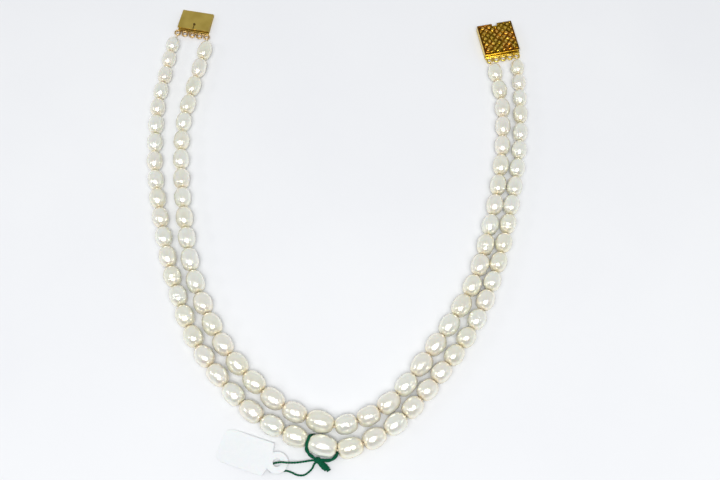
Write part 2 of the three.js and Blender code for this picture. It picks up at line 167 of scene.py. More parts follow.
def add_floor():
    half = FLOOR_HALF
    corners = [(-half, -half, 0), (half, -half, 0), (half, half, 0), (-half, half, 0)]
    mesh = bpy.data.meshes.new("floor")
    mesh.from_pydata(corners, [], [(0, 1, 2, 3)])
    floor = bpy.data.objects.new("floor", mesh)
    bpy.context.scene.collection.objects.link(floor)
    floor.data.materials.append(paper_floor())


# ---------------------------------------------------------------- materials
def start_material(name):
    material = bpy.data.materials.new(name)
    tree = node_tree(material)
    shader = add_node(tree, "ShaderNodeBsdfPrincipled")
    out = add_node(tree, "ShaderNodeOutputMaterial")
    tree.links.new(shader.outputs["BSDF"], out.inputs["Surface"])
    return material, tree, shader


def noise_texture(tree, scale, detail=2.0, roughness=0.5):
    place = add_node(tree, "ShaderNodeTexCoord")
    texture = add_node(tree, "ShaderNodeTexNoise")
    texture.inputs["Scale"].default_value = scale
    texture.inputs["Detail"].default_value = detail
    texture.inputs["Roughness"].default_value = roughness
    tree.links.new(place.outputs["Object"], texture.inputs["Vector"])
    return texture


def colour_ramp(tree, stops):
    ramp = add_node(tree, "ShaderNodeValToRGB")
    elements = ramp.color_ramp.elements
    while len(elements) < len(stops):
        elements.new(0.5)
    for element, (position, colour) in zip(elements, stops):
        element.position = position
        element.color = (*colour, 1)
    return ramp


def bump(tree, shader, height, strength, distance):
    made = add_node(tree, "ShaderNodeBump")
    made.inputs["Strength"].default_value = strength
    made.inputs["Distance"].default_value = distance
    tree.links.new(height, made.inputs["Height"])
    tree.links.new(made.outputs["Normal"], shader.inputs["Normal"])


def paper_floor():
    material, tree, shader = start_material("table_top")
    grain = noise_texture(tree, 9, 4)
    tint = colour_ramp(tree, [(0.35, (0.80, 0.81, 0.83)), (0.65, (0.825, 0.835, 0.85))])
    tree.links.new(grain.outputs["Fac"], tint.inputs["Fac"])
    tree.links.new(tint.outputs["Color"], shader.inputs["Base Color"])
    shader.inputs["Roughness"].default_value = 0.7
    shader.inputs["Specular IOR Level"].default_value = 0.2
    return material


def nacre(name, low, high, tip):
    """Pearl skin: cloudy cream, with a painted warm glow of bounce light towards the drilled ends, under
    a lustrous coat.
    """
    material, tree, shader = start_material(name)
    clouds = noise_texture(tree, 260, 3)
    tint = colour_ramp(tree, [(0.3, low), (0.7, high)])
    tree.links.new(clouds.outputs["Fac"], tint.inputs["Fac"])
    # Painted warm bounce glow towards the drilled ends, as much as the tip attribute gives
    ends = add_node(tree, "ShaderNodeAttribute", attribute_name="tip")
    warm = add_node(tree, "ShaderNodeMix", data_type="RGBA")
    warm.inputs["B"].default_value = (*tip, 1)
    tree.links.new(ends.outputs["Fac"], warm.inputs["Factor"])
    tree.links.new(tint.outputs["Color"], warm.inputs["A"])
    tree.links.new(warm.outputs["Result"], shader.inputs["Base Color"])
    shader.inputs["Roughness"].default_value = 0.25
    shader.inputs["IOR"].default_value = 1.6
    shader.inputs["Metallic"].default_value = 0.50
    shader.inputs["Subsurface Weight"].default_value = 0.2
    shader.inputs["Subsurface Radius"].default_value = (1.0, 0.75, 0.45)
    shader.inputs["Subsurface Scale"].default_value = 0.0015
    shader.inputs["Specular Tint"].default_value = (1.0, 0.93, 0.78, 1)
    shader.inputs["Coat Weight"].default_value = 0.5
    shader.inputs["Coat Roughness"].default_value = 0.20
    shader.inputs["Thin Film Thickness"].default_value = 380
    shader.inputs["Thin Film IOR"].default_value = 1.5
    skin = noise_texture(tree, 700, 3, 0.6)
    bump(tree, shader, skin.outputs["Fac"], 0.45, 0.0003)
    return material


def metal(name, low, high, roughness, scale=400, bump_strength=0.15, brushed=None):
    """Gold-coloured metal with worn, uneven tone, brushed along one direction if asked."""
    material, tree, shader = start_material(name)
    patches = noise_texture(tree, scale, 4)
    tint = colour_ramp(tree, [(0.3, low), (0.7, high)])
    tree.links.new(patches.outputs["Fac"], tint.inputs["Fac"])
    tree.links.new(tint.outputs["Color"], shader.inputs["Base Color"])
    shader.inputs["Metallic"].default_value = 1.0
    rough = add_node(tree, "ShaderNodeMapRange")
    rough.inputs["To Min"].default_value = roughness[0]
    rough.inputs["To Max"].default_value = roughness[1]
    tree.links.new(patches.outputs["Fac"], rough.inputs["Value"])
    tree.links.new(rough.outputs["Result"], shader.inputs["Roughness"])
    grain = noise_texture(tree, 3000, 2)
    if brushed:
        stretch = add_node(tree, "ShaderNodeMapping")
        stretch.inputs["Rotation"].default_value = (0, 0, math.radians(brushed))
        stretch.inputs["Scale"].default_value = (0.06, 1, 1)
        source = grain.inputs["Vector"].links[0].from_socket
        tree.links.new(source, stretch.inputs["Vector"])
        tree.links.new(stretch.outputs["Vector"], grain.inputs["Vector"])
    bump(tree, shader, grain.outputs["Fac"], bump_strength, 0.0001)
    return material


def engraved_metal_painted_light(name):
    """Gilt relief with painted light: painted glints make its high places bright and painted shade makes
    its hollows brown, with redder patches.
    """
    material, tree, shader = start_material(name)
    relief = add_node(tree, "ShaderNodeAttribute", attribute_name="relief")
    # The relief's height runs from painted shade in the hollows to painted glints on the high places
    gilt = colour_ramp(
        tree,
        [(0.10, (0.10, 0.05, 0.003)), (0.60, (0.44, 0.25, 0.012)), (0.95, (0.95, 0.66, 0.13))],
    )
    red = colour_ramp(
        tree,
        [(0.10, (0.15, 0.045, 0.003)), (0.60, (0.58, 0.23, 0.012)), (0.95, (1.0, 0.60, 0.18))],
    )
    patches = noise_texture(tree, 170, 3)
    spread = colour_ramp(tree, [(0.42, (0, 0, 0)), (0.58, (1, 1, 1))])
    mixed = add_node(tree, "ShaderNodeMix", data_type="RGBA")
    tree.links.new(relief.outputs["Fac"], gilt.inputs["Fac"])
    tree.links.new(relief.outputs["Fac"], red.inputs["Fac"])
    tree.links.new(patches.outputs["Fac"], spread.inputs["Fac"])
    tree.links.new(spread.outputs["Color"], mixed.inputs["Factor"])
    tree.links.new(gilt.outputs["Color"], mixed.inputs["A"])
    tree.links.new(red.outputs["Color"], mixed.inputs["B"])
    tree.links.new(mixed.outputs["Result"], shader.inputs["Base Color"])
    shader.inputs["Metallic"].default_value = 1.0
    shader.inputs["Roughness"].default_value = 0.20
    grain = noise_texture(tree, 2200, 3)
    bump(tree, shader, grain.outputs["Fac"], 0.35, 0.0001)
    return material


def fibre(name, low, high, scale, sheen):
    """Spun thread: fine fibres over a mottled colour."""
    material, tree, shader = start_material(name)
    fuzz = noise_texture(tree, scale, 5, 0.7)
    tint = colour_ramp(tree, [(0.3, low), (0.7, high)])
    tree.links.new(fuzz.outputs["Fac"], tint.inputs["Fac"])
    tree.links.new(tint.outputs["Color"], shader.inputs["Base Color"])
    shader.inputs["Roughness"].default_value = 0.9
    shader.inputs["Specular IOR Level"].default_value = 0.15
    shader.inputs["Sheen Weight"].default_value = sheen
    shader.inputs["Sheen Roughness"].default_value = 0.5
    bump(tree, shader, fuzz.outputs["Fac"], 0.5, 0.0002)
    return material


def card_stock():
    material, tree, shader = start_material("tag_card")
    fibres = noise_texture(tree, 700, 5, 0.65)
    tint = colour_ramp(tree, [(0.3, (0.765, 0.79, 0.80)), (0.7, (0.795, 0.812, 0.82))])
    tree.links.new(fibres.outputs["Fac"], tint.inputs["Fac"])
    tree.links.new(tint.outputs["Color"], shader.inputs["Base Color"])
    shader.inputs["Roughness"].default_value = 0.55
    shader.inputs["Subsurface Weight"].default_value = 0.1
    shader.inputs["Subsurface Scale"].default_value = 0.0005
    bump(tree, shader, fibres.outputs["Fac"], 0.15, 0.0001)
    return material


# ---------------------------------------------------------------- meshes
def add_piece(name, vertices, faces, material, body, slot, smooth=True):
    mesh = bpy.data.meshes.new(name)
    mesh.from_pydata([tuple(v) for v in vertices], [], faces)
    mesh.update()
    if smooth:
        mesh.polygons.foreach_set("use_smooth", [True] * len(mesh.polygons))
    mesh.materials.append(material)
    piece = bpy.data.objects.new(name, mesh)
    bpy.context.scene.collection.objects.link(piece)
    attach(piece, body)
    return piece


# ---------------------------------------------------------------- laying out the pearls
def graded(values, share):
    """The value at a share of the way along evenly spaced values."""
    place = share * (len(values) - 1)
    step = min(int(place), len(values) - 2)
    return values[step] + (values[step + 1] - values[step]) * (place - step)


def natural(pearl, seed):
    """A repeatable number from -1 to 1 for a pearl."""
    value = math.sin(pearl * 12.9898 + seed * 78.233) * 43758.5453
    return 2 * (value - math.floor(value)) - 1


def walk_route(route):
    """Places on a smooth curve through the route, each with its distance along the curve."""
    first = tuple(2 * a - b for a, b in zip(route[0], route[1]))
    last = tuple(2 * a - b for a, b in zip(route[-1], route[-2]))
    points = [first, *route, last]
    places = []
    distance = 0.0
    for span in range(len(route) - 1):
        a, b, c, d = points[span : span + 4]
        for step in range(1 if span else 0, STEPS_PER_SPAN + 1):
            t = step / STEPS_PER_SPAN
            at = []
            for axis in (0, 1):
                pull = (c[axis] - a[axis]) / 2
                push = (d[axis] - b[axis]) / 2
                bend = 3 * (c[axis] - b[axis]) - 2 * pull - push
                turn = 2 * (b[axis] - c[axis]) + pull + push
                at.append(b[axis] + pull * t + bend * t * t + turn * t**3)
            if places:
                distance += math.dist(at, places[-1][0])
            places.append((at, distance))
    return places


def place_at(places, distance):
    after = next((i for i, p in enumerate(places) if p[1] >= distance), len(places) - 1)
    (low, low_at), (high, high_at) = places[max(after, 1) - 1], places[max(after, 1)]
    share = (distance - low_at) / (high_at - low_at)
    span = Vector((high[0] - low[0], high[1] - low[1]))
    return Vector(low) + span * share, span.normalized()


class Pearl:
    """A pearl that rests on the table. Its heading runs along its strand."""

    def __init__(self, at, heading, length, width):
        self.at = Vector((at[0], at[1], width / 2))
        self.heading = Vector((heading[0], heading[1], 0))
        self.length = length
        self.width = width

    def end(self, sign, beyond=0.0):
        return self.at + self.heading * sign * (self.length / 2 + beyond)


def lay_out_side(strand, side):
    places = walk_route(strand["route"])
    centre = places[strand["centre_point"] * STEPS_PER_SPAN][1]
    outwards = -1 if side == "left" else 1
    reach = centre if side == "left" else places[-1][1] - centre
    count = strand["per_side"]
    seed = strand["seed"][side]
    grading = [
        graded(strand["lengths"][side], i / (count - 1))
        * (1 + LENGTH_VARIATION * natural(i + 1, seed))
        for i in range(count)
    ]
    room = reach - KNOT_SPACE * count - strand["centre"][0] / 2
    stretch = room / (sum(grading) - grading[-1] / 2)
    tip = strand["centre"][0] / 2
    pearls = []
    for i, value in enumerate(grading):
        length = value * stretch
        distance = tip + KNOT_SPACE + length / 2
        tip = distance + length / 2
        at, heading = place_at(places, centre + outwards * distance)
        width = graded(strand["widths"], i / (count - 1))
        pearls.append(Pearl(at, heading * outwards, length, width))
    return pearls


def lay_out_centre(strand):
    places = walk_route(strand["route"])
    centre = places[strand["centre_point"] * STEPS_PER_SPAN][1]
    at, heading = place_at(places, centre)
    return Pearl(at, heading, *strand["centre"])


# ---------------------------------------------------------------- pearls
PEARL_RINGS = 30
PEARL_SIDES = 40
HOLE_RADIUS = 0.3
TIP_GROWTH = 0.14  # how far each end swells into the space left for the knot
DIMPLE_FLOOR = 0.93  # where a drilled dimple's floor lies, as a share of the half length
GROOVE_WIDTH = 0.10
TABLE_GAP = 0.02


def pearl_mesh(pearl, seed, plump, egg, grooves, lumps):
    """A nacre ovoid along its heading, with a drilled dimple at each end, resting on z = 0."""
    half_length = pearl.length / 2 + TIP_GROWTH
    across = Vector((-pearl.heading.y, pearl.heading.x, 0))
    up = Vector((0, 0, 1))
    offset = Vector((seed * 3.7, seed * 1.9, seed * 5.3))
    vertices = []
    for ring in range(PEARL_RINGS + 1):
        angle = math.pi * ring / PEARL_RINGS
        along = -math.cos(angle)
        out = math.sin(angle) ** plump * (1 + egg * along)
        for place, depth in grooves:
            out *= 1 - depth * math.exp(-(((along - place) / GROOVE_WIDTH) ** 2))
        if ring in (0, PEARL_RINGS):
            out = HOLE_RADIUS / (pearl.width / 2)
            along *= DIMPLE_FLOOR
        for side in range(PEARL_SIDES):
            turn = 2 * math.pi * side / PEARL_SIDES
            direction = Vector((along, math.cos(turn) * out, math.sin(turn) * out))
            swell = 1 + lumps * noise.noise(direction * 1.6 + offset)
            swell += lumps * 0.45 * noise.noise(direction * 4.5 + offset)
            radius = out * swell * pearl.width / 2
            vertices.append(
                pearl.at
                + pearl.heading * along * half_length
                + across * math.cos(turn) * radius
                + up * math.sin(turn) * radius
            )
    lift = TABLE_GAP - min(v.z for v in vertices)
    vertices = [(v + up * lift) * MM for v in vertices]
    faces = []
    for ring in range(PEARL_RINGS):
        for side in range(PEARL_SIDES):
            following = (side + 1) % PEARL_SIDES
            a, b = ring * PEARL_SIDES, (ring + 1) * PEARL_SIDES
            faces.append((a + side, b + side, b + following, a + following))
    faces.append(tuple(range(PEARL_SIDES)))
    faces.append(tuple(PEARL_RINGS * PEARL_SIDES + s for s in reversed(range(PEARL_SIDES))))
    return vertices, faces


def paint_tip_glow(piece, pearl):
    """How near each vertex is to a drilled end, from 0 to 1, which sets the painted warm bounce glow
    there.
    """
    tip = piece.data.attributes.new("tip", "FLOAT", "POINT")
    middle = pearl.at * MM
    half = pearl.length / 2 * MM
    along = [abs((v.co - middle).dot(pearl.heading)) / half for v in piece.data.vertices]
    tip.data.foreach_set("value", [0.8 * max(0.0, share - 0.35) ** 1.5 for share in along])


# The pearls at the front that have a shape of their own: a power that fills out the ends as it falls,
# an egg shape, and grooves as a place along the pearl and a depth
FRONT_SHAPES = {
    "pearl_outer_centre": (0.68, 0.02, ()),
    "pearl_inner_centre": (0.72, -0.05, ()),
    "pearl_outer_right_01": (0.60, -0.08, ((0.05, 0.03),)),
    "pearl_inner_right_01": (0.62, 0.04, ((-0.30, 0.03), (0.35, 0.035))),
    "pearl_inner_right_02": (0.66, 0.06, ((0.10, 0.03), (0.45, 0.03))),
    "pearl_outer_left_01": (0.66, 0.08, ()),
    "pearl_outer_right_02": (0.68, -0.08, ((0.5, 0.02),)),
}


def add_pearl(name, pearl, seed, body, nacres):
    """One pearl, with a shape of its own if it has one and otherwise a shape that its seed gives."""
    grooves = ((0.45 * natural(seed, 41), 0.035),) if natural(seed, 23) > 0.45 else ()
    usual = (0.72 + 0.08 * natural(seed, 31), 0.07 * natural(seed, 17), grooves)
    plump, egg, grooves = FRONT_SHAPES.get(name, usual)
    vertices, faces = pearl_mesh(pearl, seed, plump, egg, grooves, lumps=0.04)
    material = nacres[int((natural(seed, 53) + 1) / 2 * len(nacres)) % len(nacres)]
    piece = add_piece(name, vertices, faces, material, body, "pearl")
    paint_tip_glow(piece, pearl)
    return piece


def add_strand(strand_name, nacres):
    strand = STRANDS[strand_name]
    centre = lay_out_centre(strand)
    first_seed = 100 if strand_name == "outer" else 300
    middle = add_pearl(f"pearl_{strand_name}_centre", centre, first_seed, "strand_centre", nacres)
    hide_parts(f"{strand_name}_pearl_centre")
    for side in ("left", "right"):
        pearls = lay_out_side(strand, side)
        taken = 0
        for number, count in enumerate(strand["per_length"][side], 1):
            body = f"{side}_length_{number:02d}"
            for index in range(taken, taken + count):
                seed = first_seed + index + 1 + (100 if side == "right" else 0)
                name = f"pearl_{strand_name}_{side}_{index + 1:02d}"
                piece = add_pearl(name, pearls[index], seed, body, nacres)
                if index == taken:
                    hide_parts(f"{strand_name}_pearls_{side}_{number:02d}")
            taken += count


# ---------------------------------------------------------------- threads
def smooth_path(points, steps):
    """Points on a smooth curve through the listed ones."""
    points = [Vector(p) for p in points]
    points = [2 * points[0] - points[1], *points, 2 * points[-1] - points[-2]]
    path = []
    for a, b, c, d in zip(points, points[1:], points[2:], points[3:]):
        for step in range(steps):
            t = step / steps
            pull, push = (c - a) / 2, (d - b) / 2
            bend = 3 * (c - b) - 2 * pull - push
            turn = 2 * (b - c) + pull + push
            path.append(b + pull * t + bend * t * t + turn * t**3)
    path.append(points[-2])
    return path


def twisted_tube(path, radius, plies=2, pitch=2.4, sides=14, depth=0.22, taper=0.0):
    """A plied thread along a path: a lobed section that turns as it goes, with closed ends."""
    forward = (path[1] - path[0]).normalized()
    normal = forward.orthogonal().normalized()
    vertices = []
    travelled = 0.0
    for i, point in enumerate(path):
        ahead = path[min(i + 1, len(path) - 1)] - path[max(i - 1, 0)]
        ahead.normalize()
        normal = (normal - ahead * normal.dot(ahead)).normalized()
        binormal = ahead.cross(normal)
        if i:
            travelled += (point - path[i - 1]).length
        twist = 2 * math.pi * travelled / pitch
        share = i / (len(path) - 1)
        size = radius * (1 - taper * share)
        for side in range(sides):
            angle = 2 * math.pi * side / sides
            lobe = abs(math.cos(plies / 2 * (angle - twist)))
            reach = size * (1 - depth * (1 - lobe))
            vertices.append(point + (normal * math.cos(angle) + binormal * math.sin(angle)) * reach)
    faces = []
    for i in range(len(path) - 1):
        for side in range(sides):
            following = (side + 1) % sides
            a, b = i * sides, (i + 1) * sides
            faces.append((a + side, a + following, b + following, b + side))
    faces.append(tuple(reversed(range(sides))))
    faces.append(tuple((len(path) - 1) * sides + side for side in range(sides)))
    return vertices, faces


def in_metres(shape):
    vertices, faces = shape
    return [v * MM for v in vertices], faces


def together(*shapes):
    """Several vertex and face lists as one."""
    vertices, faces = [], []
    for own_vertices, own_faces in shapes:
        first = len(vertices)
        vertices.extend(own_vertices)
        faces.extend(tuple(first + i for i in face) for face in own_faces)
    return vertices, faces


SILK_IN_PEARL = 0.35  # how far a knot's thread runs into the pearls beside it
KNOT_RINGS = 9
KNOT_SIDES = 12


def silk_knot(before, after):
    """A small tight knot between two pearls, and the thread that runs into both."""
    start, end = before.end(1, -SILK_IN_PEARL), after.end(-1, -SILK_IN_PEARL)
    middle = (before.end(1) + after.end(-1)) / 2
    along = (end - start).normalized()
    thread = twisted_tube([start.lerp(end, i / 6) for i in range(7)], 0.24, 2, 0.9, 8)
    half = KNOT_SPACE * 0.62
    shares = [-1 + 2 * i / (KNOT_RINGS - 1) for i in range(KNOT_RINGS)]
    knot = [middle + along * share * half for share in shares]
    vertices, faces = twisted_tube(knot, 1.0, 3, 1.1, KNOT_SIDES, 0.16)
    for i, vertex in enumerate(vertices):
        share = shares[i // KNOT_SIDES]
        line = middle + along * share * half
        vertices[i] = line + (vertex - line) * (0.22 + 0.30 * math.sqrt(max(0.0, 1 - share**2)))
    return together(thread, (vertices, faces))


def add_silk(side):
    """The knotted silk between the pearls, one piece for each length of both strands."""
    knots = {}
    for strand in STRANDS.values():
        pearls = lay_out_side(strand, side)
        centre = lay_out_centre(strand)
        centre.heading = centre.heading * (-1 if side == "left" else 1)
        line = [centre, *pearls]
        bodies = ["strand_centre"]
        for number, count in enumerate(strand["per_length"][side], 1):
            bodies.extend([f"{side}_length_{number:02d}"] * count)
        for before, after, body in zip(line, line[1:], bodies):
            knots.setdefault(body, []).append(silk_knot(before, after))
    for body, shapes in knots.items():
        vertices, faces = in_metres(together(*shapes))
        name = f"silk_{side}_centre" if body == "strand_centre" else f"silk_{body}"
        add_piece(name, vertices, faces, SILK, body, "silk")


# ---------------------------------------------------------------- clasp
# Each half's place is its ring row's middle on the table, and its turn in degrees.
TONGUE_PLACE = ((-67.4, 90.5), -10.6)
BOX_PLACE = ((74.0, 77.9), 11.5)
RINGS = 5
RING_HEIGHT = 1.2
RING_RADIUS = 1.13
RING_WIRE = 0.40
TONGUE_PITCH = 3.39
BOX_PITCH = 3.15
RING_BAR_START = 1.10
RING_BAR_END = 1.85
RING_BAR_BOTTOM = 0.3
TONGUE_BAR_TOP = 1.05
BOX_BAR_TOP = 1.7


def placed(place, shape):
    """A half's own frame, x across and y towards its free end, to metres on the table."""
    (x, y), degrees = place
    matrix = Matrix.Translation((x, y, 0)) @ Matrix.Rotation(math.radians(degrees), 4, "Z")
    vertices, faces = shape
    return [(matrix @ Vector(v)) * MM for v in vertices], faces


def rounded_block(low, high, radius, segments=3):
    """A block with rounded edges."""
    mesh = bmesh.new()
    bmesh.ops.create_cube(mesh, size=1)
    size = [b - a for a, b in zip(low, high)]
    for vertex in mesh.verts:
        vertex.co = Vector([a + s * (c + 0.5) for a, s, c in zip(low, size, vertex.co)])
    bmesh.ops.bevel(
        mesh, geom=list(mesh.edges), offset=radius, segments=segments, profile=0.5, affect="EDGES"
    )
    shape = [v.co.copy() for v in mesh.verts], [tuple(v.index for v in f.verts) for f in mesh.faces]
    mesh.free()
    return shape


def ring_torus(x, steps=36, sides=12):
    """A wire ring lying level, a little fuller where it is soldered to its bar."""
    vertices, faces = [], []
    for i in range(steps):
        round_angle = 2 * math.pi * i / steps
        solder = max(0.0, math.sin(round_angle)) ** 6
        for j in range(sides):
            wire_angle = 2 * math.pi * j / sides
            wire = RING_WIRE * (1 + 0.35 * solder)
            out = RING_RADIUS + wire * math.cos(wire_angle)
            vertices.append(
                (
                    x + out * math.cos(round_angle),
                    out * math.sin(round_angle),
                    RING_HEIGHT + wire * math.sin(wire_angle),
                )
            )
            a, b = i * sides, (i + 1) % steps * sides
            faces.append((a + j, b + j, b + (j + 1) % sides, a + (j + 1) % sides))
    return vertices, faces


def ring_row(pitch, width, bar_top):
    """A bar with the rings that are soldered to it."""
    low = (-width / 2, RING_BAR_START, RING_BAR_BOTTOM)
    bar = rounded_block(low, (width / 2, RING_BAR_END, bar_top), 0.15)
    rings = [ring_torus((i - (RINGS - 1) / 2) * pitch) for i in range(RINGS)]
    return together(bar, *rings)


SHEET_BEVEL = 0.1


def profile_sheet(profile, width, steps=24):
    """A closed outline in y and z, carried straight across the half, with bevelled ends."""
    vertices, faces = [], []
    count = len(profile)
    for i in range(steps + 1):
        x = (width / 2 - SHEET_BEVEL) * (2 * (i - 1) / (steps - 2) - 1)
        x = max(-width / 2, min(width / 2, x))
        inset = SHEET_BEVEL if i in (0, steps) else 0.0
        middle = Vector((0, sum(p[0] for p in profile) / count, sum(p[1] for p in profile) / count))
        for y, z in profile:
            point = Vector((x, y, z))
            pull = Vector((0, middle.y - y, middle.z - z))
            vertices.append(point + pull.normalized() * min(inset, pull.length * 0.5))
    for i in range(steps):
        for j in range(count):
            a, b = i * count, (i + 1) * count
            following = (j + 1) % count
            faces.append((a + j, b + j, b + following, a + following))
    faces.append(tuple(range(count)))
    faces.append(tuple(steps * count + j for j in reversed(range(count))))
    return vertices, faces


TONGUE_WIDTH = 14.4
TONGUE_START = 2.15
TONGUE_END = 12.2
LEAF_END = 12.5
LEAF_THICKNESS = 0.5
LEAF_FOLD_HEIGHT = 1.12  # underside of the leaf at its folded edge
LEAF_RISE = 1.0  # how much higher its free edge is
LEAF_CROWN = 0.18
BASE_THICKNESS = 0.7
ROLL_RADIUS = 0.5


def leaf_under(y):
    """Height of the leaf's underside, which rises from its fold to its free edge by the rings."""
    return LEAF_FOLD_HEIGHT + LEAF_RISE * (LEAF_END - y) / (LEAF_END - TONGUE_START)


def add_tongue_half():
    rings = placed(TONGUE_PLACE, ring_row(TONGUE_PITCH, TONGUE_WIDTH, TONGUE_BAR_TOP))
    # The tongue's rings and bar are a browner gold, partly their own tone and partly painted shade from
    # the leaf over them
    piece = add_piece("clasp_tongue_rings", *rings, TONGUE_RING_GOLD_PART_SHADED, "tongue_half", "clasp_gold")
    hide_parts("tongue_ring_row")

    half = TONGUE_WIDTH / 2
    sheet = rounded_block((-half, TONGUE_START, 0.0), (half, TONGUE_END, BASE_THICKNESS), 0.12)
    roll = [
        (TONGUE_END + ROLL_RADIUS * math.cos(a), ROLL_RADIUS + ROLL_RADIUS * math.sin(a))
        for a in (2 * math.pi * i / 20 for i in range(20))
    ]
    base = placed(TONGUE_PLACE, together(sheet, profile_sheet(roll, TONGUE_WIDTH)))
    piece = add_piece("clasp_tongue_base", *base, SATIN, "tongue_half", "clasp_gold")
    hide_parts("tongue_base")
    smooth_by_angle(piece)

    upper, lower = [], []
    steps = 12
    for i in range(steps + 1):
        y = TONGUE_START + (LEAF_END - TONGUE_START) * i / steps
        crown = LEAF_CROWN * math.sin(math.pi * i / steps)
        lower.append((y, leaf_under(y) + crown))
        upper.append((y, leaf_under(y) + crown + LEAF_THICKNESS))
    upper[0] = (upper[0][0] + 0.1, upper[0][1])
    outline = lower + [(LEAF_END + 0.12, leaf_under(LEAF_END) + 0.25)] + upper[::-1]
    leaf = placed(TONGUE_PLACE, profile_sheet(outline, TONGUE_WIDTH))
    piece = add_piece("clasp_tongue_leaf", *leaf, SATIN, "spring_leaf", "clasp_gold")
    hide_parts("tongue_spring_leaf")
    smooth_by_angle(piece)
    add_thumb_catch()


PIP_AT = 5.0
PIP_RADIUS = 0.58
PIP_HEIGHT = 0.7


def add_thumb_catch():
    """A low raised strip on the leaf that ends in a round pip."""
    tilt = math.atan2(-LEAF_RISE, LEAF_END - TONGUE_START)
    strip = rounded_block((-0.14, 2.4, 0.0), (0.14, 5.2, 0.22), 0.06)
    pip = []
    faces = []
    sides, rows = 20, 7
    for row in range(rows):
        angle = math.pi / 2 * row / (rows - 1)
        for side in range(sides):
            turn = 2 * math.pi * side / sides
            out = PIP_RADIUS * math.cos(angle)
            y = PIP_AT + out * math.sin(turn)
            pip.append((out * math.cos(turn), y, PIP_HEIGHT * math.sin(angle) + 0.02))
    for row in range(rows - 1):
        for side in range(sides):
            following = (side + 1) % sides
            a, b = row * sides, (row + 1) * sides
            faces.append((a + side, a + following, b + following, b + side))
    faces.append(tuple(reversed(range(sides))))
    faces.append(tuple((rows - 1) * sides + side for side in range(sides)))
    vertices, faces = together(strip, (pip, faces))
    height = leaf_under(0) + LEAF_THICKNESS + 0.1
    lean = Matrix.Translation((0, 0, height)) @ Matrix.Rotation(tilt, 4, "X")
    shape = placed(TONGUE_PLACE, ([lean @ Vector(v) for v in vertices], faces))
    piece = add_piece("clasp_thumb_catch", *shape, DARK_CATCH_GOLD, "spring_leaf", "clasp_gold")
    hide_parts("tongue_thumb_catch")
    smooth_by_angle(piece)


BOX_WIDTH = 16.0
BOX_START = 2.15
BOX_END = 17.7
BOX_HEIGHT = 3.7
NOTCH_WIDTH = 2.4
NOTCH_DEPTH = 1.3
BOX_WALL = 0.6
LOZENGE = 2.9
COVER_THICKNESS = 0.6
BORDER_WIDTH = 0.55
ENGRAVING_FLOOR = 0.32  # how far the lowest relief lies under the box's height
ENGRAVING_DEPTH = 0.34


def engraving(x, y):
    """How high the cover's lozenge relief stands inside its plain border, from 0 to 1."""
    edge = min(BOX_WIDTH / 2 - abs(x), y - BOX_START, BOX_END - y)
    if edge < BORDER_WIDTH:
        return 0.35 * min(1.0, edge / 0.35)
    inside = min(1.0, (edge - BORDER_WIDTH) / 0.3)
    u = math.pi * (x + y) / LOZENGE
    v = math.pi * (x - y) / LOZENGE
    pillow = (abs(math.sin(u)) * abs(math.sin(v))) ** 0.7
    star = (0.5 + 0.5 * math.cos(2 * u) * math.cos(2 * v)) ** 2
    worn = 0.42 * noise.noise(Vector((x * 0.9, y * 0.9, 4.0)))
    chased = 0.34 * noise.noise(Vector((x * 2.6, y * 2.6, 9.0)))
    return inside * min(1.0, max(0.0, 0.80 * pillow + 0.25 * star + worn + chased))


def box_cover():
    """The engraved lid, notched at its mouth, and how high its relief stands at each vertex."""
    columns, rows = 112, 108
    keep = {}
    vertices, faces, relief = [], [], []
    xs = [-BOX_WIDTH / 2 + BOX_WIDTH * i / columns for i in range(columns + 1)]
    ys = [BOX_START + (BOX_END - BOX_START) * j / rows for j in range(rows + 1)]

    def corner(i, j, top):
        key = (i, j, top)
        if key not in keep:
            x, y = xs[i], ys[j]
            high = engraving(x, y) if top else 0.0
            keep[key] = len(vertices)
            if top:
                height = BOX_HEIGHT - ENGRAVING_FLOOR + ENGRAVING_DEPTH * high
            else:
                height = BOX_HEIGHT - COVER_THICKNESS
            vertices.append((x, y, height))
            relief.append(high)
        return keep[key]

    def solid(i, j):
        if not (0 <= i < columns and 0 <= j < rows):
            return False
        x, y = (xs[i] + xs[i + 1]) / 2, (ys[j] + ys[j + 1]) / 2
        return not (abs(x) < NOTCH_WIDTH / 2 and y > BOX_END - NOTCH_DEPTH)

    for i in range(columns):
        for j in range(rows):
            if not solid(i, j):
                continue
            around = [(i, j), (i + 1, j), (i + 1, j + 1), (i, j + 1)]
            faces.append(tuple(corner(*c, True) for c in around))
            faces.append(tuple(corner(*c, False) for c in reversed(around)))
            beyond = [(i, j - 1), (i + 1, j), (i, j + 1), (i - 1, j)]
            for (a, b), neighbour in zip(zip(around, around[1:] + around[:1]), beyond):
                if not solid(*neighbour):
                    faces.append(
                        (corner(*a, True), corner(*a, False), corner(*b, False), corner(*b, True))
                    )
    return vertices, faces, relief


